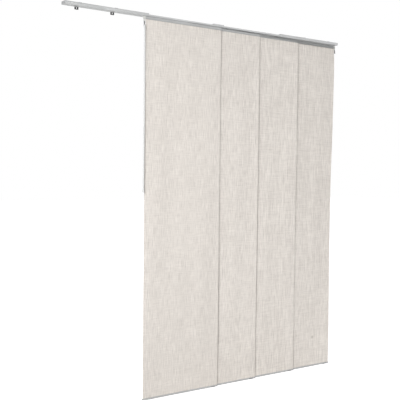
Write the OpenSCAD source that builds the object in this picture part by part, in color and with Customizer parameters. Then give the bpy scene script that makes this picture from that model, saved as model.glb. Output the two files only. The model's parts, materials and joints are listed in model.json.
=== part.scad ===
// Panel track blind: four cloth panels on a telescoping four-lane track.
// Units are millimetres, +Z is up, the wall is the plane Y = 0 and the room is towards -Y.
// The origin is the middle of the screw slots of the right inner wall bracket.
// Inside the modules X runs from the track's middle and Z = 0 is the top of the outer sections.

/* [Track] */
// Length of the track when fully drawn out
track_length = 2184; // [1900:1:2600]
// Length of each outer end section with its cap
sleeve_length = 560; // [450:1:600]
// Height of the outer sections
sleeve_height = 17.6; // [16.8:0.1:22]
// Wall thickness of the outer sections
sleeve_wall = 1.2; // [1:0.1:1.4]
// Distance between neighbouring lanes
lane_pitch = 11.5; // [11:0.1:15]
// How far each lower lip reaches in from its wall
sleeve_lip = 3.3; // [2.6:0.1:3.4]
// How far the top plate stands out at the front and back
ear_reach = 1.5; // [1.3:0.1:2]
// Distance from the wall to the back of the outer sections
wall_gap = 8; // [7.5:0.5:20]
// Size of the ribs that hold the inner rails down
keeper_size = 1.2; // [1:0.1:1.6]

/* [Inner rails] */
// Distance from the outer top down to the inner rails' top
rail_drop = 6; // [5:0.1:6.5]
// Wall thickness of the inner rails
rail_wall = 0.9; // [0.8:0.1:1.1]
// Width of the slot under each inner rail
rail_slot = 3.4; // [3.2:0.1:4]
// Length of inner rail inside each outer section
rail_overlap = 50; // [40:1:70]
// Clearance on each side of an inner rail
rail_clear = 0.3; // [0.25:0.05:0.5]
// Gap under a piece that slides on another
slide_gap = 0.15; // [0.1:0.05:0.3]

/* [Joiner] */
// Length of the saddle at the middle
joiner_length = 82; // [70:1:110]
// How far the saddle's legs reach down beside the rails
joiner_leg = 7; // [5:0.5:9]
// Radius of the bosses under the saddle's top
boss_radius = 3.2; // [2.8:0.1:4]
// Distance of each screw row from the saddle's ends
screw_inset = 14; // [10:1:20]
// Radius of the screw shank
screw_radius = 1.2; // [1:0.1:1.3]
// Radius of the screw head
screw_head_radius = 2.6; // [2.2:0.1:3]
// Height of the screw head
screw_head_height = 1.4; // [1:0.1:2]
// Width of the cross cut in the head
screw_cross = 0.7; // [0.5:0.1:1]
// Length of shank below the rail's top wall
screw_tip = 0.8; // [0.5:0.1:1]

/* [End caps] */
// Thickness of the track's end caps
cap_thick = 2.5; // [2:0.1:4]
// Clearance around plugs in their channels
plug_clear = 0.2; // [0.15:0.05:0.4]
// Gap between a plug and a glider at the end of its travel
stop_gap = 0.5; // [0.3:0.1:1]

/* [Wall brackets] */
// Distance from the track's end to the outer bracket's middle
bracket_end = 97; // [60:1:160]
// Distance between the two brackets of one section
bracket_space = 235; // [150:1:300]
// Width of a bracket
bracket_width = 25; // [20:1:30]
// Thickness of a bracket's sheet
bracket_thick = 2; // [1.5:0.1:3]
// How far the wall plate reaches below the outer top
bracket_drop = 31; // [28:0.5:45]
// Radius of the wall plate's lower corners
bracket_corner = 3; // [2:0.5:5]
// Length of the arm over the track
bracket_arm = 38; // [30:1:45]
// Width of the screw slots in the wall plate
slot_width = 6; // [5:0.1:7]
// Length of each screw slot
slot_length = 10; // [8:0.5:12]
// Distance from the outer top down to the upper slot's middle
slot_drop = 8; // [7:0.5:10]
// Distance between the two slots' middles
slot_space = 14; // [13:0.5:16]
// Width of a spring clip
clip_width = 18; // [12:1:22]
// Thickness of a spring clip
clip_thick = 1.4; // [1:0.1:1.6]
// Gap between a clip and the ear it holds
clip_clear = 0.3; // [0.2:0.05:0.4]
// Distance from the wall to a rivet
rivet_place = 30; // [26:0.5:32]
// Radius of a rivet shank
rivet_radius = 1.6; // [1.2:0.1:2]
// Radius of a rivet head
rivet_head_radius = 3.2; // [2.8:0.1:4]
// Height of a rivet head
rivet_head_height = 1.4; // [1:0.1:2]

/* [Panels] */
// Width of each cloth panel
panel_width = 577; // [450:1:640]
// Distance from the outer top to the lower edge of the panels
panel_drop = 2438; // [1200:1:2700]
// Thickness of the cloth
fabric_thick = 0.8; // [0.6:0.1:1]
// Distance from a panel's edge to the track's end when it is fully across
end_gap = 6; // [5:0.5:12]
// Gap between the carrier's body and the top of the cloth
fabric_gap = 1.5; // [1:0.1:3]

/* [Carriers] */
// Gap between the track and a carrier
carrier_gap = 1.4; // [1:0.1:3]
// Depth of a carrier's body
carrier_depth = 8; // [7.4:0.1:8.6]
// Height of a carrier's body
carrier_body = 17; // [15:0.1:20]
// Wall thickness of a carrier
carrier_wall = 1.2; // [1:0.1:1.4]
// Inner height of the channel that holds the glider feet
channel_height = 4.8; // [4.2:0.1:6]
// Height of the tape face under a carrier's body
carrier_face = 24; // [22:0.5:30]
// Thickness of the tape face
face_thick = 1.6; // [1.2:0.1:2]
// Height of the hook and loop tapes
tape_height = 20; // [16:0.5:21]
// Thickness of each tape
tape_thick = 1.2; // [1:0.1:1.4]
// Thickness of the carrier's end caps
carrier_cap = 1.2; // [1:0.1:2]

/* [Gliders] */
// Distance from a panel's edge to the middle of its glider
glider_inset = 34; // [25:1:60]
// Length of a glider's head
glider_length = 22; // [16:1:30]
// Clearance on each side of a glider's head
glider_side = 0.35; // [0.25:0.05:0.6]
// Height of a glider's head
glider_height = 5.6; // [4:0.1:6.2]
// Length of a glider's neck and foot
neck_length = 15; // [10:0.5:20]
// Width of a glider's neck
neck_width = 2.4; // [2:0.1:2.6]
// Height of a glider's foot
foot_height = 3.6; // [3:0.1:4]

/* [Bottom rails] */
// Height of a bottom rail
hem_height = 12; // [10:0.5:18]
// Depth of a bottom rail
hem_depth = 6; // [5:0.1:7]
// Wall thickness of a bottom rail
hem_wall = 1.2; // [1:0.1:1.4]
// Height of the jaws that grip the cloth
jaw_height = 2.5; // [2:0.1:4]
// Length of cloth inside a bottom rail
hem_grip = 8; // [6:0.5:8.5]
// Thickness of a bottom rail's end caps
hem_cap = 1.2; // [1:0.1:2]
// Distance from the right edge to the catch that shows in the rail's front
catch_inset = 18; // [10:1:30]
// Length of the catch
catch_length = 38; // [20:1:50]
// Height of the catch
catch_height = 3.2; // [2.5:0.1:4]

/* [Wand] */
// Distance from the panel's edge out to the wand
wand_out = 10.5; // [9:0.5:16]
// Width of the holder's tab
tab_width = 8; // [7:0.5:10]
// Thickness of the holder's tab
tab_thick = 2; // [1.6:0.1:2.4]
// Distance from the carrier's top to the holder's pin
pin_drop = 31; // [29:0.5:37]
// Radius of the holder's pin
pin_radius = 1.5; // [1.2:0.1:1.8]
// Radius of the pin's head
pin_head_radius = 3; // [2.6:0.1:3.4]
// Thickness of the pin's head
pin_head = 1.2; // [1:0.1:1.5]
// Clearance at the turning pins
turn_clear = 0.3; // [0.3:0.05:0.4]
// Thickness of a link
link_thick = 2.4; // [2:0.1:2.6]
// Width of a link
link_width = 6; // [5:0.1:7]
// Distance between a link's two pins
link_length = 21; // [18:0.5:26]
// Radius of the link's upper ring
ring_radius = 3.5; // [3.2:0.1:4]
// Radius of the link's lower barrel
barrel_radius = 2.6; // [2.4:0.1:3]
// Radius of the pin through the barrel
wand_pin_radius = 1; // [0.8:0.1:1.2]
// Thickness of the fork's cheeks
cheek_thick = 1.5; // [1.2:0.1:2]
// Length of the cheeks below the pin
cheek_length = 10; // [8:0.5:14]
// Radius of the wand's rod
wand_radius = 4.7; // [3.5:0.1:5]
// Length of the wand below the barrel's pin
wand_length = 1044; // [600:1:1400]
// Distance from the cloth forward to the wand's middle
wand_forward = 7.5; // [7:0.1:10]
// Wall of the sockets at the rod's ends
socket_wall = 1; // [0.8:0.1:1.4]
// Length of the upper socket
socket_length = 20; // [14:1:30]
// Length of the tip
tip_length = 16; // [12:1:30]

/* [Hidden] */
// Number of lanes and panels
lane_count = 4;
// Overrun of cuts
over = 0.5;
// Where each panel rests along its travel, as a share of the travel
rest_shares = [0.333, 0.5436, 0.7724, 1];
// Fineness of round faces
$fn = 40;

track_half = track_length / 2;
sleeve_depth = lane_count * lane_pitch + sleeve_wall;
sleeve_back = -wall_gap;
sleeve_front = -wall_gap - sleeve_depth;
lane_inner = lane_pitch - sleeve_wall;
sleeve_slot = lane_inner - 2 * sleeve_lip;
sleeve_floor = -sleeve_height + sleeve_wall;
rail_width = lane_inner - 2 * rail_clear;
rail_bottom = sleeve_floor + slide_gap;
rail_height = -rail_drop - rail_bottom;
rail_reach = track_half - sleeve_length + rail_overlap;
rail_floor = rail_bottom + rail_wall;
glider_bottom = rail_floor + slide_gap;
screw_length = rail_drop + rail_wall + screw_tip;
glider_width = rail_width - 2 * rail_wall - 2 * glider_side;
travel = track_length - 2 * end_gap - panel_width;
plug_length = end_gap + glider_inset - glider_length / 2 - cap_thick - stop_gap;
carrier_top = -sleeve_height - carrier_gap;
carrier_bottom = carrier_top - carrier_body;
channel_width = carrier_depth - 2 * carrier_wall;
carrier_slot = neck_width + 2 * turn_clear;
fabric_top = carrier_bottom - fabric_gap;
face_front = -carrier_depth / 2 + fabric_thick + 2 * tape_thick;
fabric_back = -carrier_depth / 2 + fabric_thick;
hem_middle = -carrier_depth / 2 + fabric_thick / 2;
hem_top = -panel_drop + hem_height;
hem_inner = hem_depth - 2 * hem_wall;
hem_front = hem_middle - hem_depth / 2;
hem_round = hem_top - hem_height + hem_depth / 2;
tongue_thick = (hem_inner - fabric_thick) / 2 - 2 * plug_clear;
tongue_height = hem_height - hem_depth / 2 - jaw_height - plug_clear;
tongue_length = catch_inset + catch_length + hem_wall;
bracket_top = clip_thick + bracket_thick;
pin_z = carrier_top - pin_drop;
link_front = -carrier_depth / 2 - turn_clear;
barrel_y = link_front - barrel_radius;
barrel_z = pin_z - link_length;
cheek_gap = link_width / 2 + turn_clear;
wand_y = -carrier_depth / 2 - wand_forward;
socket_radius = wand_radius + turn_clear + socket_wall;
socket_top = barrel_z - cheek_length / 2;
wand_end = barrel_z - wand_length;

// Middle of a lane, counted from the front
function lane_y(k) = sleeve_back - sleeve_wall / 2 - (lane_count - k + 1 / 2) * lane_pitch;
// Left edge of a panel at rest
function panel_left(k) = -track_half + end_gap + rest_shares[k - 1] * travel;
// Right edge of a panel at rest
function panel_right(k) = panel_left(k) + panel_width;
// Middle of a bracket: side is -1 or 1, place is 0 for the outer one and 1 for the inner one
function bracket_x(side, place) = side * (track_half - bracket_end - place * bracket_space);

// From the track's own frame to the frame of the mount
module in_frame() {
    translate([-bracket_x(1, 1), 0, slot_drop + slot_space / 2])
        children();
}

// A flat outline in Y and Z, drawn out along X
module along(start, length) {
    translate([start, 0, 0])
        rotate([90, 0, 90])
            linear_extrude(height = length)
                children();
}

// A rod along X
module rod_x(radius, start, length) {
    translate([start, 0, 0])
        rotate([0, 90, 0])
            cylinder(r = radius, h = length);
}

// A rod towards the room
module rod_front(radius, start, length) {
    translate([0, start, 0])
        rotate([90, 0, 0])
            cylinder(r = radius, h = length);
}

// Track

// The opening of one lane, with its slot and the ribs that stay
module lane_opening(k) {
    translate([lane_y(k), 0]) {
        difference() {
            translate([-lane_inner / 2, sleeve_floor])
                square([lane_inner, -sleeve_floor - sleeve_wall]);
            for (side = [-1, 1])
                translate([side * lane_inner / 2 - keeper_size, rail_clear - rail_drop])
                    square([2 * keeper_size, keeper_size]);
        }
        translate([-sleeve_slot / 2, -sleeve_height - over])
            square([sleeve_slot, sleeve_wall + 2 * over]);
    }
}

module sleeve_outline() {
    difference() {
        union() {
            translate([sleeve_front, -sleeve_height])
                square([sleeve_depth, sleeve_height]);
            translate([sleeve_front - ear_reach, -sleeve_wall])
                square([sleeve_depth + 2 * ear_reach, sleeve_wall]);
        }
        for (k = [1 : lane_count])
            lane_opening(k);
    }
}

module sleeve_left() {
    color("silver")
    in_frame()
        along(-track_half + cap_thick, sleeve_length - cap_thick)
            sleeve_outline();
}

module sleeve_right() {
    color("silver")
    in_frame()
        along(track_half - sleeve_length, sleeve_length - cap_thick)
            sleeve_outline();
}

// An end cap and its plugs: the plate starts at x = 0 and the plugs run towards +X
module track_cap() {
    along(0, cap_thick) {
        translate([sleeve_front, -sleeve_height])
            square([sleeve_depth, sleeve_height]);
        translate([sleeve_front - ear_reach, -sleeve_wall])
            square([sleeve_depth + 2 * ear_reach, sleeve_wall]);
    }
    for (k = [1 : lane_count])
        along(0, cap_thick + plug_length)
            translate([lane_y(k) - lane_inner / 2 + plug_clear, sleeve_floor + plug_clear])
                square([lane_inner - 2 * plug_clear, -rail_drop - sleeve_floor - plug_clear]);
}

module cap_left() {
    color("lightgray")
    in_frame()
        translate([-track_half, 0, 0])
            track_cap();
}

module cap_right() {
    color("lightgray")
    in_frame()
        translate([track_half, 0, 0])
            mirror([1, 0, 0])
                track_cap();
}

module rail_outline() {
    difference() {
        translate([-rail_width / 2, rail_bottom])
            square([rail_width, rail_height]);
        translate([rail_wall - rail_width / 2, rail_floor])
            square([rail_width - 2 * rail_wall, rail_height - 2 * rail_wall]);
        translate([-rail_slot / 2, rail_bottom - over])
            square([rail_slot, rail_wall + 2 * over]);
    }
}

// Places of the joiner's screws over one rail
module at_screws(k) {
    for (side = [-1, 1])
        translate([side * (joiner_length / 2 - screw_inset), lane_y(k), 0])
            children();
}

module inner_rail(k) {
    color("silver")
    in_frame()
        difference() {
            along(-rail_reach, 2 * rail_reach)
                translate([lane_y(k), 0])
                    rail_outline();
            at_screws(k)
                translate([0, 0, -rail_drop - rail_wall - over])
                    cylinder(r = screw_radius + turn_clear, h = rail_wall + 2 * over);
        }
}

module rail_1() { inner_rail(1); }
module rail_2() { inner_rail(2); }
module rail_3() { inner_rail(3); }
module rail_4() { inner_rail(4); }

module joiner() {
    color("silver")
    in_frame()
        difference() {
            union() {
                along(-joiner_length / 2, joiner_length) {
                    translate([sleeve_front, -sleeve_wall])
                        square([sleeve_depth, sleeve_wall]);
                    for (k = [0 : lane_count])
                        translate([sleeve_front + k * lane_pitch, -rail_drop - joiner_leg])
                            square([sleeve_wall, rail_drop + joiner_leg]);
                }
                for (k = [1 : lane_count])
                    at_screws(k)
                        translate([0, 0, -rail_drop])
                            cylinder(r = boss_radius, h = rail_drop - sleeve_wall / 2);
            }
            for (k = [1 : lane_count])
                at_screws(k)
                    translate([0, 0, -rail_drop - over])
                        cylinder(r = screw_radius + turn_clear, h = rail_drop + 2 * over);
        }
}

module joiner_screws() {
    color("gainsboro")
    in_frame()
        for (k = [1 : lane_count])
            at_screws(k)
                difference() {
                    union() {
                        cylinder(r = screw_head_radius, h = screw_head_height);
                        translate([0, 0, -screw_length])
                            cylinder(r = screw_radius, h = screw_length + screw_head_height / 2);
                    }
                    for (turn = [0, 90])
                        rotate([0, 0, turn])
                            translate([-screw_radius, -screw_cross / 2, screw_head_height / 2])
                                cube([2 * screw_radius, screw_cross, screw_head_height]);
                }
}

// Wall brackets

// A slot through the wall plate, its middle at the origin
module wall_slot() {
    run = (slot_length - slot_width) / 2;
    for (side = [-1, 1])
        translate([0, 0, side * run])
            rod_front(slot_width / 2, over, bracket_thick + 2 * over);
    translate([-slot_width / 2, -bracket_thick - over, -run])
        cube([slot_width, bracket_thick + 2 * over, 2 * run]);
}

// The wall plate with its two lower corners rounded
module wall_plate() {
    corner_x = bracket_width / 2 - bracket_corner;
    straight = bracket_drop - bracket_corner;
    translate([-bracket_width / 2, -bracket_thick, -straight])
        cube([bracket_width, bracket_thick, straight + bracket_top]);
    translate([-corner_x, -bracket_thick, -bracket_drop])
        cube([2 * corner_x, bracket_thick, 2 * bracket_corner]);
    for (side = [-1, 1])
        translate([side * corner_x, 0, -straight])
            rod_front(bracket_corner, 0, bracket_thick);
}

// One bracket in its place on the track
module bracket(side, place) {
    color("dimgray")
    in_frame()
        translate([bracket_x(side, place), 0, 0])
            difference() {
                union() {
                    wall_plate();
                    translate([-bracket_width / 2, -bracket_arm, clip_thick])
                        cube([bracket_width, bracket_arm, bracket_thick]);
                }
                for (step = [0, 1])
                    translate([0, 0, -slot_drop - step * slot_space])
                        wall_slot();
                translate([0, -rivet_place, clip_thick - over])
                    cylinder(r = rivet_radius + turn_clear, h = bracket_thick + 2 * over);
            }
}

module bracket_left_outer() { bracket(-1, 0); }
module bracket_left_inner() { bracket(-1, 1); }
module bracket_right_inner() { bracket(1, 1); }
module bracket_right_outer() { bracket(1, 0); }

// One leg of a clip with its hook, on the side of +Y
module clip_leg() {
    ear = sleeve_depth / 2 + ear_reach;
    deep = sleeve_wall + clip_clear + clip_thick;
    translate([ear + clip_clear, -deep])
        square([clip_thick, deep + clip_thick]);
    translate([ear + clip_clear - ear_reach, -deep])
        square([ear_reach + clip_thick, clip_thick]);
}

module clip(side, place) {
    half = sleeve_depth / 2 + ear_reach + clip_clear + clip_thick;
    middle = sleeve_back - sleeve_depth / 2;
    translate([bracket_x(side, place), middle, 0])
        difference() {
            along(-clip_width / 2, clip_width) {
                translate([-half, 0])
                    square([2 * half, clip_thick]);
                clip_leg();
                mirror([1, 0])
                    clip_leg();
            }
            translate([0, -rivet_place - middle, -over])
                cylinder(r = rivet_radius + turn_clear, h = clip_thick + 2 * over);
        }
}

module clips(side) {
    color("lightsteelblue")
    in_frame()
        for (place = [0, 1])
            clip(side, place);
}

module clips_left() { clips(-1); }
module clips_right() { clips(1); }

module rivets(side) {
    color("gainsboro")
    in_frame()
        for (place = [0, 1])
            translate([bracket_x(side, place), -rivet_place, 0]) {
                translate([0, 0, slide_gap])
                    cylinder(r = rivet_radius, h = bracket_top + rivet_head_height / 2);
                translate([0, 0, bracket_top])
                    cylinder(r = rivet_head_radius, h = rivet_head_height);
            }
}

module rivets_left() { rivets(-1); }
module rivets_right() { rivets(1); }

// Panels

// The carrier's solid outline without its channels
module carrier_body_outline() {
    translate([-carrier_depth / 2, carrier_bottom])
        square([carrier_depth, carrier_body]);
}

module carrier_outline() {
    channel_floor = carrier_top - carrier_wall - channel_height;
    difference() {
        carrier_body_outline();
        translate([-channel_width / 2, channel_floor])
            square([channel_width, channel_height]);
        translate([-carrier_slot / 2, channel_floor])
            square([carrier_slot, channel_height + carrier_wall + over]);
        translate([-channel_width / 2, carrier_bottom + carrier_wall])
            square([channel_width, channel_floor - carrier_bottom - 2 * carrier_wall]);
    }
    translate([face_front, carrier_bottom - carrier_face])
        square([face_thick, carrier_face + carrier_wall / 2]);
}

module carrier(k) {
    color("silver")
    in_frame()
        along(panel_left(k), panel_width)
            translate([lane_y(k), 0])
                carrier_outline();
}

module carrier_1() { carrier(1); }
module carrier_2() { carrier(2); }
module carrier_3() { carrier(3); }
module carrier_4() { carrier(4); }

// The end caps of a carrier, but none where a wand holder sits
module carrier_caps(k) {
    color("lightgray")
    in_frame() {
        if (k != 1)
            along(panel_left(k) - carrier_cap, carrier_cap)
                translate([lane_y(k), 0])
                    carrier_body_outline();
        if (k != lane_count)
            along(panel_right(k), carrier_cap)
                translate([lane_y(k), 0])
                    carrier_body_outline();
    }
}

module carrier_caps_1() { carrier_caps(1); }
module carrier_caps_2() { carrier_caps(2); }
module carrier_caps_3() { carrier_caps(3); }
module carrier_caps_4() { carrier_caps(4); }

// A glider about x = 0: a round-ended head, a neck through the slot and a foot in the carrier
module glider() {
    foot_top = carrier_top - carrier_wall;
    foot_width = channel_width - 2 * turn_clear;
    straight = glider_length - glider_width;
    translate([-straight / 2, -glider_width / 2, glider_bottom])
        cube([straight, glider_width, glider_height]);
    for (side = [-1, 1])
        translate([side * straight / 2, 0, glider_bottom])
            cylinder(r = glider_width / 2, h = glider_height);
    translate([-neck_length / 2, -neck_width / 2, foot_top - foot_height / 2])
        cube([neck_length, neck_width, glider_bottom - foot_top + (foot_height + glider_height) / 2]);
    translate([-neck_length / 2, -foot_width / 2, foot_top - foot_height])
        cube([neck_length, foot_width, foot_height]);
}

module gliders(k) {
    color("whitesmoke")
    in_frame()
        for (x = [panel_left(k) + glider_inset, panel_right(k) - glider_inset])
            translate([x, lane_y(k), 0])
                glider();
}

module gliders_1() { gliders(1); }
module gliders_2() { gliders(2); }
module gliders_3() { gliders(3); }
module gliders_4() { gliders(4); }

// A tape along the carrier's face: layer 1 is on the carrier and layer 2 on the cloth
module tape(k, layer) {
    tape_y = lane_y(k) + face_front - layer * tape_thick;
    translate([panel_left(k), tape_y, fabric_top - fabric_thick - tape_height])
        cube([panel_width, tape_thick, tape_height]);
}

module hook_tape(k) { color("gray") in_frame() tape(k, 1); }
module hook_tape_1() { hook_tape(1); }
module hook_tape_2() { hook_tape(2); }
module hook_tape_3() { hook_tape(3); }
module hook_tape_4() { hook_tape(4); }

module loop_tape(k) { color("white") in_frame() tape(k, 2); }
module loop_tape_1() { loop_tape(1); }
module loop_tape_2() { loop_tape(2); }
module loop_tape_3() { loop_tape(3); }
module loop_tape_4() { loop_tape(4); }

module fabric(k) {
    fabric_end = hem_top - hem_grip;
    color("linen")
    in_frame()
        translate([panel_left(k), lane_y(k) - carrier_depth / 2, fabric_end])
            cube([panel_width, fabric_thick, fabric_top - fabric_end]);
}

module fabric_1() { fabric(1); }
module fabric_2() { fabric(2); }
module fabric_3() { fabric(3); }
module fabric_4() { fabric(4); }

// The rounded outline of a bottom rail
module hem_outline() {
    radius = hem_depth / 2;
    translate([hem_middle - radius, hem_top - hem_height + radius])
        square([hem_depth, hem_height - radius]);
    translate([hem_middle, hem_top - hem_height + radius])
        circle(r = radius);
}

// The outline with its hollow and the jaws that grip the cloth
module hem_section() {
    difference() {
        hem_outline();
        translate([hem_middle - hem_inner / 2, hem_round])
            square([hem_inner, hem_height - hem_depth / 2 - jaw_height]);
        translate([hem_middle, hem_round])
            circle(r = hem_inner / 2);
        translate([hem_middle - fabric_thick / 2, hem_top - jaw_height - over])
            square([fabric_thick, jaw_height + 2 * over]);
    }
}

// The block of a catch, from front to back, with room around it
module catch(front, back, room) {
    translate([-catch_inset - catch_length - room, front, hem_round - room])
        cube([catch_length + 2 * room, back - front, catch_height + 2 * room]);
}

module bottom_rail(k) {
    color("silver")
    in_frame()
        translate([panel_right(k), lane_y(k), 0])
            difference() {
                along(-panel_width, panel_width)
                    hem_section();
                catch(hem_front - over, hem_front + hem_wall + over, plug_clear);
            }
}

module bottom_rail_1() { bottom_rail(1); }
module bottom_rail_2() { bottom_rail(2); }
module bottom_rail_3() { bottom_rail(3); }
module bottom_rail_4() { bottom_rail(4); }

// The end caps of a bottom rail: the right one has a tongue in front of the cloth, with a catch
module bottom_caps(k) {
    tongue_front = hem_front + hem_wall + plug_clear;
    color("dimgray")
    in_frame()
        translate([panel_right(k), lane_y(k), 0]) {
            along(-panel_width - hem_cap, hem_cap)
                hem_outline();
            along(0, hem_cap)
                hem_outline();
            translate([-tongue_length, tongue_front, hem_round])
                cube([tongue_length + hem_cap / 2, tongue_thick, tongue_height]);
            catch(hem_front, tongue_front + tongue_thick / 2, 0);
        }
}

module bottom_caps_1() { bottom_caps(1); }
module bottom_caps_2() { bottom_caps(2); }
module bottom_caps_3() { bottom_caps(3); }
module bottom_caps_4() { bottom_caps(4); }

// Wand

// A holder: the panel's edge is x = 0 and the wand is towards -X
module holder() {
    reach = wand_out + tab_width / 2;
    pin_length = tab_thick / 2 + link_thick + 2 * turn_clear + pin_head / 2;
    along(-reach, reach)
        carrier_body_outline();
    translate([-reach, -carrier_depth / 2, pin_z])
        cube([tab_width, tab_thick, carrier_bottom - pin_z + carrier_wall]);
    translate([-wand_out, 0, pin_z]) {
        rod_front(tab_width / 2, tab_thick - carrier_depth / 2, tab_thick);
        rod_front(pin_radius, tab_thick / 2 - carrier_depth / 2, pin_length);
        rod_front(pin_head_radius, link_front - link_thick - turn_clear, pin_head);
    }
}

// A link with its ring on the holder's pin
module link() {
    translate([-wand_out, 0, 0])
        difference() {
            union() {
                translate([0, 0, pin_z])
                    rod_front(ring_radius, link_front, link_thick);
                translate([-link_width / 2, link_front - link_thick, barrel_z])
                    cube([link_width, link_thick, link_length]);
                translate([0, barrel_y, barrel_z])
                    rod_x(barrel_radius, -link_width / 2, link_width);
            }
            translate([0, 0, pin_z])
                rod_front(pin_radius + turn_clear, link_front + over, link_thick + 2 * over);
            translate([0, barrel_y, barrel_z])
                rod_x(wand_pin_radius + turn_clear, -link_width / 2 - over, link_width + 2 * over);
        }
}

// The left edge of the first panel, in its lane
module at_wand() {
    translate([panel_left(1), lane_y(1), 0])
        children();
}

// The right edge of the last panel, in its lane, turned over
module at_spare() {
    translate([panel_right(lane_count), lane_y(lane_count), 0])
        mirror([1, 0, 0])
            children();
}

module wand_holder() { color("whitesmoke") in_frame() at_wand() holder(); }
module spare_holder() { color("whitesmoke") in_frame() at_spare() holder(); }
module wand_link() { color("dimgray") in_frame() at_wand() link(); }
module spare_link() { color("dimgray") in_frame() at_spare() link(); }

// The fork and socket at the top of the wand
module wand_cap() {
    cheek_front = wand_y;
    cheek_back = barrel_y + barrel_radius;
    cut = cheek_gap + cheek_thick + over;
    color("whitesmoke")
    in_frame()
        at_wand()
            translate([-wand_out, 0, 0])
                difference() {
                    union() {
                        for (start = [-cheek_gap - cheek_thick, cheek_gap]) {
                            translate([start, cheek_front, barrel_z - cheek_length])
                                cube([cheek_thick, cheek_back - cheek_front, cheek_length]);
                            translate([0, barrel_y, barrel_z])
                                rod_x(barrel_radius, start, cheek_thick);
                        }
                        translate([0, wand_y, socket_top - socket_length])
                            cylinder(r = socket_radius, h = socket_length);
                    }
                    translate([0, barrel_y, barrel_z])
                        rod_x(wand_pin_radius + turn_clear, -cut, 2 * cut);
                    translate([0, wand_y, socket_top - socket_length - over])
                        cylinder(r = wand_radius + turn_clear, h = socket_length - cheek_thick + over);
                }
}

module wand_pin() {
    half = cheek_gap + cheek_thick;
    color("dimgray")
    in_frame()
        at_wand()
            translate([-wand_out, barrel_y, barrel_z])
                rod_x(wand_pin_radius, -half, 2 * half);
}

module wand_rod() {
    rod_top = socket_top - cheek_thick - turn_clear;
    rod_end = wand_end + socket_wall + turn_clear;
    color("white")
    in_frame()
        at_wand()
            translate([-wand_out, wand_y, rod_end])
                cylinder(r = wand_radius, h = rod_top - rod_end);
}

module wand_tip() {
    color("whitesmoke")
    in_frame()
        at_wand()
            translate([-wand_out, wand_y, wand_end])
                difference() {
                    cylinder(r = socket_radius, h = tip_length);
                    translate([0, 0, socket_wall])
                        cylinder(r = wand_radius + turn_clear, h = tip_length);
                }
}

sleeve_left();
sleeve_right();
cap_left();
cap_right();
rail_1();
rail_2();
rail_3();
rail_4();
joiner();
joiner_screws();
bracket_left_outer();
bracket_left_inner();
bracket_right_inner();
bracket_right_outer();
clips_left();
clips_right();
rivets_left();
rivets_right();
carrier_1();
carrier_2();
carrier_3();
carrier_4();
carrier_caps_1();
carrier_caps_2();
carrier_caps_3();
carrier_caps_4();
gliders_1();
gliders_2();
gliders_3();
gliders_4();
hook_tape_1();
hook_tape_2();
hook_tape_3();
hook_tape_4();
loop_tape_1();
loop_tape_2();
loop_tape_3();
loop_tape_4();
fabric_1();
fabric_2();
fabric_3();
fabric_4();
bottom_rail_1();
bottom_rail_2();
bottom_rail_3();
bottom_rail_4();
bottom_caps_1();
bottom_caps_2();
bottom_caps_3();
bottom_caps_4();
wand_holder();
spare_holder();
wand_link();
spare_link();
wand_cap();
wand_pin();
wand_rod();
wand_tip();
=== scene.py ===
import json
import math

import bpy
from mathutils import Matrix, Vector, noise


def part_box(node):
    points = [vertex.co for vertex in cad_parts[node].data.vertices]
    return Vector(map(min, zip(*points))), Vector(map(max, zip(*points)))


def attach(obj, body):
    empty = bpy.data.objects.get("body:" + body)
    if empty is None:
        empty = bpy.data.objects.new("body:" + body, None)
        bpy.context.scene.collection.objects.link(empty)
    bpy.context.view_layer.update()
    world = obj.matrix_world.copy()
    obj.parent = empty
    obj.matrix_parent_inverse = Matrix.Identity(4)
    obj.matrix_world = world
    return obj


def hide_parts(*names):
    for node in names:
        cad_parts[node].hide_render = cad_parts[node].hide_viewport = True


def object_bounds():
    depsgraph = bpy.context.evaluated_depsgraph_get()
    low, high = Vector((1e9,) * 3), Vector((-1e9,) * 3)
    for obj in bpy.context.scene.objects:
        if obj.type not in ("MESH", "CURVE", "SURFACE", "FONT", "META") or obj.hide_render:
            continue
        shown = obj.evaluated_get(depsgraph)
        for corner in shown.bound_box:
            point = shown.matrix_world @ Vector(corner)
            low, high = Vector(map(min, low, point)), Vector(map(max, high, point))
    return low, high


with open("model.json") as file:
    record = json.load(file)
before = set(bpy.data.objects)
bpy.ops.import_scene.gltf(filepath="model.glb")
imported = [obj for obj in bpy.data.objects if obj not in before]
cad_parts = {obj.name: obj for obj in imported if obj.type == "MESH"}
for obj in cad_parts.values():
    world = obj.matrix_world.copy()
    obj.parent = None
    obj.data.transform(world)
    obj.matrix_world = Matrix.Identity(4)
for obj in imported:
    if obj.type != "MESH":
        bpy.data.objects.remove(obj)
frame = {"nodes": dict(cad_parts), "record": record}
cad_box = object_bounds()
nodes = frame["nodes"]
scene = bpy.context.scene
scene.view_settings.view_transform = "Standard"

# Lengths are in metres throughout

PANELS = (1, 2, 3, 4)
WHITE = (1.0, 1.0, 1.0, 1.0)

# Camera, fitted to the photo

CAMERA_PLACE = (-3.4346, -3.8690, -0.9804)
CAMERA_DEGREES = (87.846, -0.6545, -33.625)

lens = bpy.data.cameras.new("camera")
lens.sensor_width = 36.0
lens.lens = 62.457
lens.clip_end = 200.0
camera = bpy.data.objects.new("camera", lens)
scene.collection.objects.link(camera)
camera.location = CAMERA_PLACE
camera.rotation_euler = [math.radians(angle) for angle in CAMERA_DEGREES]
scene.camera = camera

# Materials

HOOK_PITCH = 0.0016
YARN_PITCH = 0.0011
TWIST_PITCH = 0.0005
KNOT_PLACE = (0.161, -0.0187, -2.202)


def linear(r, g, b):
    """A colour written as 0 to 255 display values, for a shader's socket."""
    out = []
    for v in (r, g, b):
        v /= 255.0
        out.append(v / 12.92 if v <= 0.04045 else ((v + 0.055) / 1.055) ** 2.4)
    return (*out, 1.0)


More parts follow.
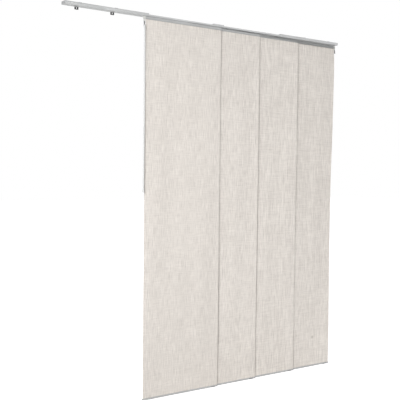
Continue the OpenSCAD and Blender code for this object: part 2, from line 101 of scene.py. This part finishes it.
def add_node(tree, kind, inputs, **props):
    """A shader node with its properties set, and each input set or linked."""
    node = tree.nodes.new(kind)
    for key, value in props.items():
        setattr(node, key, value)
    for key, value in inputs.items():
        if isinstance(value, bpy.types.NodeSocket):
            tree.links.new(value, node.inputs[key])
        else:
            node.inputs[key].default_value = value
    return node


class Look:
    """A material of one Principled shader, with short calls for the nodes that feed it."""

    def __init__(self, name, **values):
        self.mat = bpy.data.materials.new(name)
        self.mat.use_nodes = True
        self.tree = self.mat.node_tree
        self.shader = self.tree.nodes["Principled BSDF"]
        for key, value in values.items():
            self.shader.inputs[key.replace("_", " ")].default_value = value
        self.place = self.tree.nodes.new("ShaderNodeTexCoord").outputs["Object"]
        self.axis = None

    def add(self, kind, inputs, **props):
        return add_node(self.tree, kind, inputs, **props)

    def lattice(self, scale, move=(0.0, 0.0, 0.0)):
        """The piece's own coordinates, with so many cells a metre: one number, or one for each axis."""
        if isinstance(scale, float):
            scale = (scale, scale, scale)
        node = self.add("ShaderNodeMapping", {"Vector": self.place, "Scale": scale, "Location": move})
        return node.outputs["Vector"]

    def grain(self, scale, detail=2.0, rough=0.5, move=(0.0, 0.0, 0.0)):
        """Noise from 0 to 1."""
        node = self.add(
            "ShaderNodeTexNoise",
            {"Vector": self.lattice(scale, move), "Scale": 1.0, "Detail": detail, "Roughness": rough},
        )
        return node.outputs[0]

    def cells(self, scale):
        """Distance to the middle of round cells."""
        node = self.add("ShaderNodeTexVoronoi", {"Vector": self.lattice(scale), "Scale": 1.0})
        return node.outputs["Distance"]

    def along(self, letter):
        """One coordinate of the piece."""
        if self.axis is None:
            self.axis = self.add("ShaderNodeSeparateXYZ", {"Vector": self.place})
        return self.axis.outputs[letter]

    def math(self, kind, a, b=0.0):
        return self.add("ShaderNodeMath", {0: a, 1: b}, operation=kind).outputs[0]

    def ripple(self, value, length):
        """Sine of a value, with one turn in that length."""
        return self.math("SINE", self.math("MULTIPLY", value, 2 * math.pi / length))

    def blend(self, *shares):
        """Sum of values, each times its share."""
        parts = [self.math("MULTIPLY", value, share) for value, share in shares]
        total = parts[0]
        for part in parts[1:]:
            total = self.math("ADD", total, part)
        return total

    def spread(self, value, low=0.0, high=1.0, start=0.0, stop=1.0):
        """value from start..stop to low..high, held at both ends."""
        return self.add(
            "ShaderNodeMapRange",
            {"Value": value, "From Min": start, "From Max": stop, "To Min": low, "To Max": high},
        ).outputs["Result"]

    def vary(self, grain, low=0.0, high=1.0):
        """Noise to low..high, over the range where most of it lies."""
        return self.spread(grain, low, high, start=0.3, stop=0.7)

    def paint(self, value, low, high):
        """Colour from low to high as value goes from 0 to 1."""
        node = self.add("ShaderNodeValToRGB", {"Fac": value})
        node.color_ramp.elements[0].color = low
        node.color_ramp.elements[1].color = high
        self.feed("Base Color", node.outputs["Color"])

    def feed(self, socket, value):
        self.tree.links.new(value, self.shader.inputs[socket])

    def relief(self, height, depth, strength, edge=0.0):
        """Bump of that depth, on edges rounded by edge."""
        inputs = {"Height": height, "Distance": depth, "Strength": strength}
        if edge:
            inputs["Normal"] = self.add("ShaderNodeBevel", {"Radius": edge}, samples=4).outputs["Normal"]
        self.feed("Normal", self.add("ShaderNodeBump", inputs).outputs["Normal"])


def extruded(name, low, high, metallic, rough):
    """Satin anodised aluminium with the fine lines of its extrusion along X."""
    look = Look(name, Metallic=metallic)
    lines = look.grain((1.2, 1500.0, 1500.0), detail=3.0, rough=0.6)
    cloud = look.grain((9.0, 30.0, 30.0))
    look.paint(look.spread(look.math("ADD", lines, cloud), start=0.75, stop=1.25), low, high)
    look.feed("Roughness", look.vary(lines, rough - 0.07, rough + 0.09))
    look.relief(lines, depth=0.00006, strength=0.5, edge=0.0003)
    return look.mat


def moulded(name, low, high, rough):
    """Moulded plastic with a fine matt grain."""
    look = Look(name)
    grain = look.grain(2600.0)
    cloud = look.grain(60.0, detail=3.0)
    look.paint(look.vary(cloud), low, high)
    look.feed("Roughness", look.vary(grain, rough - 0.06, rough + 0.08))
    look.relief(grain, depth=0.00005, strength=0.6, edge=0.0004)
    return look.mat


def powder_coat():
    """Dark powder coat: small round bumps and paler worn specks."""
    look = Look("bracket_paint")
    bumps = look.cells(1300.0)
    cloud = look.grain(240.0, detail=4.0, rough=0.65)
    look.paint(look.spread(cloud, start=0.35, stop=0.75), linear(40, 40, 41), linear(62, 62, 63))
    look.feed("Roughness", look.vary(cloud, 0.42, 0.62))
    look.relief(bumps, depth=0.00009, strength=0.5, edge=0.0004)
    return look.mat


def zinc():
    """Bright zinc on steel, with a faint flake and drawn lines."""
    look = Look("plain_steel", Metallic=0.9)
    flake = look.cells(420.0)
    lines = look.grain((60.0, 2400.0, 2400.0))
    look.paint(flake, linear(186, 188, 190), linear(206, 207, 208))
    look.feed("Roughness", look.vary(lines, 0.26, 0.42))
    look.relief(lines, depth=0.00004, strength=0.5, edge=0.0003)
    return look.mat


def hooks():
    """Stiff tape of small hooks in rows."""
    look = Look("hook_tape", Roughness=0.55)
    across = look.ripple(look.along("X"), HOOK_PITCH)
    down = look.ripple(look.along("Z"), HOOK_PITCH)
    dots = look.spread(look.math("MULTIPLY", across, down), start=-1.0)
    look.paint(dots, linear(196, 195, 192), linear(226, 225, 222))
    look.relief(dots, depth=0.0005, strength=0.8)
    return look.mat


def loops():
    """Soft tape of fine loops."""
    look = Look("loop_tape", Roughness=0.9, Sheen_Weight=0.3)
    fuzz = look.grain(1900.0, detail=4.0, rough=0.7)
    look.paint(look.vary(fuzz), linear(208, 206, 201), linear(238, 236, 232))
    look.relief(fuzz, depth=0.0006, strength=0.8)
    return look.mat


def linen():
    """Plain weave of uneven yarn: slubs along both threads, and the threads themselves in relief."""
    look = Look("linen_cloth", Sheen_Weight=0.08)
    across = look.ripple(look.along("X"), 2 * YARN_PITCH)
    down = look.ripple(look.along("Z"), 2 * YARN_PITCH)
    over = look.spread(look.math("MULTIPLY", across, down), start=-0.3, stop=0.3)
    warp = look.math("MULTIPLY", look.math("ABSOLUTE", across), over)
    weft = look.math("MULTIPLY", look.math("ABSOLUTE", down), look.math("SUBTRACT", 1.0, over))
    weave = look.math("ADD", warp, weft)
    # Slubs and fine yarn, upright and level
    tall = look.grain((230.0, 20.0, 13.0), rough=0.6)
    wide = look.grain((12.0, 20.0, 210.0), rough=0.6, move=(3.1, 0.0, 7.7))
    thin = look.grain((900.0, 20.0, 14.0), move=(1.7, 0.0, 2.3))
    flat = look.grain((14.0, 20.0, 900.0), move=(5.2, 0.0, 9.1))
    broad = look.grain((3.0, 3.0, 2.0))
    tone = look.blend((tall, 1.5), (wide, 0.65), (thin, 0.7), (flat, 0.4), (broad, 0.2), (weave, 0.12))
    # One darker knot, low on the last panel
    knot = look.add("ShaderNodeVectorMath", {0: look.place, 1: KNOT_PLACE}, operation="DISTANCE")
    shade = look.spread(knot.outputs["Value"], low=-1.2, high=0.0, start=0.003, stop=0.014)
    tone = look.math("ADD", tone, shade)
    look.paint(look.spread(tone, start=1.31, stop=2.27), linear(203, 196, 189), linear(248, 242, 235))
    look.feed("Roughness", look.spread(weave, 0.95, 0.86))
    look.relief(look.blend((weave, 1.0), (thin, 0.8), (flat, 0.8)), depth=0.00022, strength=0.6)
    return look.mat


def thread():
    """Twisted sewing thread."""
    look = Look("thread", Roughness=0.6, Sheen_Weight=0.2)
    twist = look.ripple(look.math("ADD", look.along("X"), look.along("Z")), TWIST_PITCH)
    look.paint(look.spread(twist, start=-1.0), linear(196, 190, 183), linear(228, 223, 216))
    look.relief(twist, depth=0.0001, strength=0.5)
    return look.mat


def milky():
    """Milky clear rod: pale, glossy, with faint drawn lines along it."""
    look = Look("pale_plastic", IOR=1.49, Transmission_Weight=0.15, Coat_Weight=0.2)
    lines = look.grain((700.0, 700.0, 2.0))
    look.paint(look.vary(lines), linear(217, 218, 217), linear(232, 233, 232))
    look.feed("Roughness", look.vary(lines, 0.14, 0.26))
    look.relief(lines, depth=0.00003, strength=0.4, edge=0.0003)
    return look.mat


looks = {
    "anodised_track": extruded(
        "anodised_track", linear(190, 191, 191), linear(207, 208, 208), metallic=0.5, rough=0.44
    ),
    # The carriers are coloured darker than the track: partly their own matt anodised tone, partly
    # painted shade for the shade that falls on them under the track
    "anodised_carrier": extruded(
        "anodised_carrier", linear(168, 169, 169), linear(190, 191, 191), metallic=0.15, rough=0.46
    ),
    "grey_plastic": moulded("grey_plastic", linear(158, 159, 160), linear(174, 174, 175), rough=0.55),
    "bracket_paint": powder_coat(),
    "plain_steel": zinc(),
    "white_nylon": moulded("white_nylon", linear(200, 200, 197), linear(216, 216, 212), rough=0.42),
    "hook_tape": hooks(),
    "loop_tape": loops(),
    "linen_cloth": linen(),
    "dark_plastic": moulded("dark_plastic", linear(30, 30, 31), linear(44, 44, 45), rough=0.5),
    "pale_plastic": milky(),
    "thread": thread(),
}

for row in frame["record"]["subparts"]:
    piece = nodes[row["node"]]
    for slot in piece.material_slots:
        slot.material = looks[row["material_slot"]]

# Cloth

CLOTH_COLUMNS = 72
CLOTH_ROWS = 160
CROWDED = 0.35  # how far the rows draw together towards the top and the foot
SHARP_DEGREES = 50.0

HELD_TOP = 0.026  # held flat so far below the top edge, and free of it after so much more
FREED_TOP = 0.30
HELD_FOOT = 0.012  # the same at the foot
FREED_FOOT = 0.25

# Waves over a panel's width: height, number, shift from panel to panel, slant in radians a metre
WAVES = ((0.0009, 1.6, 0.23, 0.9), (0.0007, 3.1, 0.41, -1.7))
UNEVEN_HEIGHT = 0.0012
UNEVEN_CELLS = (4.0, 3.7, 1.6)  # a metre across, a panel, a metre down
CURL_HEIGHT = 0.0008
CURL_TURN = 5.0  # radians over the drop
CURL_SHIFT = 1.3  # radians from panel to panel
CURL_SHARE = 0.07  # share of the width that curls at each edge

# The last panel's right edge bows back at mid drop and stands out sideways above it
BOWED_PANEL = 4
BOW_FROM = 0.6  # share of the width where the bow starts
BOW_BACK = 0.007
BOW_SIDE = 0.006
BOW_SIDE_MORE = 0.005

PILE_COLUMNS = 190
PILE_ROWS = 8
PILE_CELLS = 700.0  # a metre
PILE_ROUGH = 0.00015
PILE_INSET = 0.00002

STITCH_LENGTH = 0.0030
STITCH_SPACE = 0.0040
STITCH_RADIUS = 0.00028
STITCH_OFF = 0.55  # its middle stands so many radii off the cloth
STITCH_DEPTH = 0.75  # and it is so many radii deep
STITCH_RINGS = ((-0.5, 0.35), (-0.3, 1.0), (0.3, 1.0), (0.5, 0.35))  # place along it, and size
STITCH_SIDES = 6
SEAM_INSET = 0.003  # from the tape's edges
SEAM_ENDS = 0.008  # bare length of both ends together


def mesh_piece(name, points, faces, look, body):
    """A smooth mesh that rides on a body."""
    mesh = bpy.data.meshes.new(name)
    mesh.from_pydata(points, [], faces)
    mesh.update()
    for face in mesh.polygons:
        face.use_smooth = True
    mesh.materials.append(looks[look])
    piece = bpy.data.objects.new(name, mesh)
    scene.collection.objects.link(piece)
    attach(piece, body)
    return piece


def closed_sheet(columns, rows, point):
    """Points and faces of a thin sheet: a grid in front, one behind, and a band around both.

    point(side, i, j) gives the place of column i from the left and row j from the top, on side 0 or 1.
    """
    points = [point(side, i, j) for side in (0, 1) for j in range(rows + 1) for i in range(columns + 1)]
    step = columns + 1
    back = step * (rows + 1)
    faces = []
    for j in range(rows):
        for i in range(columns):
            a = j * step + i
            b = a + back
            faces.append((a, a + step, a + step + 1, a + 1))
            faces.append((b, b + 1, b + step + 1, b + step))
    rim = list(range(columns))
    rim += [j * step + columns for j in range(rows)]
    rim += [rows * step + i for i in range(columns, 0, -1)]
    rim += [j * step for j in range(rows, 0, -1)]
    for a, b in zip(rim, rim[1:] + rim[:1]):
        faces.append((a, b, b + back, a + back))
    return points, faces


def ramp(value, start, length):
    """0 up to start and 1 from start + length, with a soft rise between."""
    t = min(1.0, max(0.0, (value - start) / length))
    return t * t * (3.0 - 2.0 * t)


def sway(k, u, x, z, high, low):
    """How far the cloth of panel k stands forward of its flat place, and how far it shifts along X."""
    hold = ramp(high - z, HELD_TOP, FREED_TOP) * ramp(z - low, HELD_FOOT, FREED_FOOT)
    drop = (high - z) / (high - low)
    out = 0.0
    for height, number, shift, slant in WAVES:
        out += height * math.sin(2 * math.pi * (number * u + shift * k) + slant * z)
    out += UNEVEN_HEIGHT * noise.noise(Vector(UNEVEN_CELLS) * Vector((x, k, z)))
    edges = ramp(CURL_SHARE - u, 0.0, CURL_SHARE) - ramp(u, 1 - CURL_SHARE, CURL_SHARE)
    out += CURL_HEIGHT * math.sin(CURL_TURN * drop + CURL_SHIFT * k) * edges
    slip = 0.0
    if k == BOWED_PANEL:
        bow = ramp(u, BOW_FROM, 1 - BOW_FROM)
        fade = ramp(drop, start=0.25, length=0.25) * ramp(1 - drop, start=0.0, length=0.45)
        out -= BOW_BACK * bow * fade
        side = BOW_SIDE + BOW_SIDE_MORE * ramp(drop, start=0.01, length=0.04)
        slip = side * bow * (1 - ramp(drop, start=0.0, length=0.5))
    return hold * out, slip


def cloth(k):
    """One panel's cloth: a closed sheet, flat where tape and bottom rail hold it."""
    low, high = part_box(f"fabric_{k}")

    def point(side, i, j):
        u = i / CLOTH_COLUMNS
        down = CROWDED * ramp(j, 0, CLOTH_ROWS) + (1 - CROWDED) * j / CLOTH_ROWS
        x = low[0] + (high[0] - low[0]) * u
        z = high[2] + (low[2] - high[2]) * down
        out, slip = sway(k, u, x, z, high[2], low[2])
        return (x + slip, low[1] + (high[1] - low[1]) * side - out, z)

    points, faces = closed_sheet(CLOTH_COLUMNS, CLOTH_ROWS, point)
    piece = mesh_piece(f"cloth_{k}", points, faces, "linen_cloth", f"panel_{k}")
    piece.data.set_sharp_from_angle(angle=math.radians(SHARP_DEGREES))
    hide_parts(f"fabric_{k}")
    return piece


def pile(k):
    """The loop tape sewn behind a panel's top edge, its back uneven."""
    low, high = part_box(f"loop_tape_{k}")

    def point(side, i, j):
        x = low[0] + (high[0] - low[0]) * i / PILE_COLUMNS
        z = high[2] + (low[2] - high[2]) * j / PILE_ROWS
        if side == 0:
            return (x, low[1] + PILE_INSET, z)
        rough = PILE_ROUGH * (1 + noise.noise(Vector((PILE_CELLS * x, 3.0 * k + side, PILE_CELLS * z))))
        return (x, high[1] - PILE_INSET - rough, z)

    points, faces = closed_sheet(PILE_COLUMNS, PILE_ROWS, point)
    piece = mesh_piece(f"pile_{k}", points, faces, "loop_tape", f"panel_{k}")
    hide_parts(f"loop_tape_{k}")
    return piece


def stitch(x, y, z, first):
    """Points and faces of one stitch on the cloth's front; first is the number of its first point."""
    points, faces = [], []
    for share, size in STITCH_RINGS:
        radius = STITCH_RADIUS * size
        for side in range(STITCH_SIDES):
            angle = side * 2 * math.pi / STITCH_SIDES
            points.append((
                x + share * STITCH_LENGTH,
                y - radius * (STITCH_OFF + STITCH_DEPTH * math.cos(angle)),
                z + radius * math.sin(angle),
            ))
    last = first + STITCH_SIDES * (len(STITCH_RINGS) - 1)
    for ring in range(first, last, STITCH_SIDES):
        for side in range(STITCH_SIDES):
            a = ring + side
            b = ring + (side + 1) % STITCH_SIDES
            faces.append((a, b, b + STITCH_SIDES, a + STITCH_SIDES))
    faces.append(tuple(range(first + STITCH_SIDES - 1, first - 1, -1)))
    faces.append(tuple(range(last, last + STITCH_SIDES)))
    return points, faces


def stitches(k):
    """Two rows of stitches that hold the loop tape to the cloth."""
    low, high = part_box(f"fabric_{k}")
    tape_low, tape_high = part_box(f"loop_tape_{k}")
    count = int((high[0] - low[0] - SEAM_ENDS) / STITCH_SPACE)
    start = (low[0] + high[0] - count * STITCH_SPACE) / 2
    points, faces = [], []
    for z in (tape_high[2] - SEAM_INSET, tape_low[2] + SEAM_INSET):
        for i in range(count):
            x = start + STITCH_SPACE * (i + 0.5)
            more_points, more_faces = stitch(x, low[1], z, len(points))
            points += more_points
            faces += more_faces
    piece = mesh_piece(f"stitches_{k}", points, faces, "thread", f"panel_{k}")
    return piece


for k in PANELS:
    panel, tape, seam = cloth(k), pile(k), stitches(k)

# Floor and light

AMBIENT = 0.36
FLOOR_GREY = (0.86, 0.86, 0.86, 1.0)
FLOOR_GLOW = 0.8
FLOOR_HALF = 30.0
FLOOR_BELOW = 0.02
KEY_PLACE = (-15.3, -11.4, 7.1)
FILL_PLACE = (4.0, 9.0, 4.0)


def seen_ray(tree):
    """1 for what the camera, a gloss or a clear piece sees, and 0 for plain light."""
    rays = tree.nodes.new("ShaderNodeLightPath")
    value = rays.outputs["Is Camera Ray"]
    for kind in ("Is Glossy Ray", "Is Transmission Ray"):
        node = add_node(tree, "ShaderNodeMath", {0: value, 1: rays.outputs[kind]}, operation="MAXIMUM")
        value = node.outputs[0]
    return value


def studio_world():
    """White where it is seen, and a soft even light on the pieces."""
    world = bpy.data.worlds.new("studio")
    world.use_nodes = True
    tree = world.node_tree
    tree.nodes.clear()
    soft = add_node(tree, "ShaderNodeBackground", {"Color": WHITE, "Strength": AMBIENT})
    white = add_node(tree, "ShaderNodeBackground", {"Color": WHITE, "Strength": 1.0})
    inputs = {0: seen_ray(tree), 1: soft.outputs[0], 2: white.outputs[0]}
    choose = add_node(tree, "ShaderNodeMixShader", inputs)
    add_node(tree, "ShaderNodeOutputWorld", {"Surface": choose.outputs[0]})
    return world


def pale_floor():
    """Matt floor with a glow where it is seen, so that it is as white as the world."""
    mat = bpy.data.materials.new("pale_floor")
    mat.use_nodes = True
    tree = mat.node_tree
    tree.nodes.clear()
    matt = add_node(tree, "ShaderNodeBsdfDiffuse", {"Color": FLOOR_GREY})
    level = add_node(tree, "ShaderNodeMath", {0: seen_ray(tree), 1: FLOOR_GLOW}, operation="MULTIPLY")
    glow = add_node(tree, "ShaderNodeEmission", {"Color": WHITE, "Strength": level.outputs[0]})
    both = add_node(tree, "ShaderNodeAddShader", {0: matt.outputs[0], 1: glow.outputs[0]})
    add_node(tree, "ShaderNodeOutputMaterial", {"Surface": both.outputs[0]})
    return mat


def hang(data, place, aim):
    """Put a lamp at a place, turned to what it aims at."""
    item = bpy.data.objects.new(data.name, data)
    scene.collection.objects.link(item)
    item.location = place
    item.rotation_euler = (Vector(aim) - Vector(place)).to_track_quat("-Z", "Y").to_euler()


def panel_lamp(name, place, aim, side, power):
    """A square lamp that lights evenly."""
    data = bpy.data.lights.new(name, "AREA")
    data.shape = "SQUARE"
    data.size = side
    data.energy = power
    hang(data, place, aim)


def spot_lamp(name, place, aim, radius, degrees, power):
    """A round lamp whose cone fades from its middle to its edge."""
    data = bpy.data.lights.new(name, "SPOT")
    data.shadow_soft_size = radius
    data.spot_size = math.radians(degrees)
    data.spot_blend = 1.0
    data.energy = power
    hang(data, place, aim)


scene.world = studio_world()

ground = cad_box[0][2] - FLOOR_BELOW
corners = [(x * FLOOR_HALF, y * FLOOR_HALF, ground) for x, y in ((-1, -1), (1, -1), (1, 1), (-1, 1))]
mesh = bpy.data.meshes.new("floor")
mesh.from_pydata(corners, [], [(0, 1, 2, 3)])
mesh.materials.append(pale_floor())
floor = bpy.data.objects.new("floor", mesh)
scene.collection.objects.link(floor)

panel_lamp("key", KEY_PLACE, aim=(-14.9, -11.1, 0.0), side=2.8, power=4980.0)
spot_lamp("key_beam", KEY_PLACE, aim=(-0.4, 0.0, -1.45), radius=0.7, degrees=9.0, power=3210.0)
panel_lamp("fill", FILL_PLACE, aim=(-0.7, 0.0, -1.2), side=3.0, power=300.0)
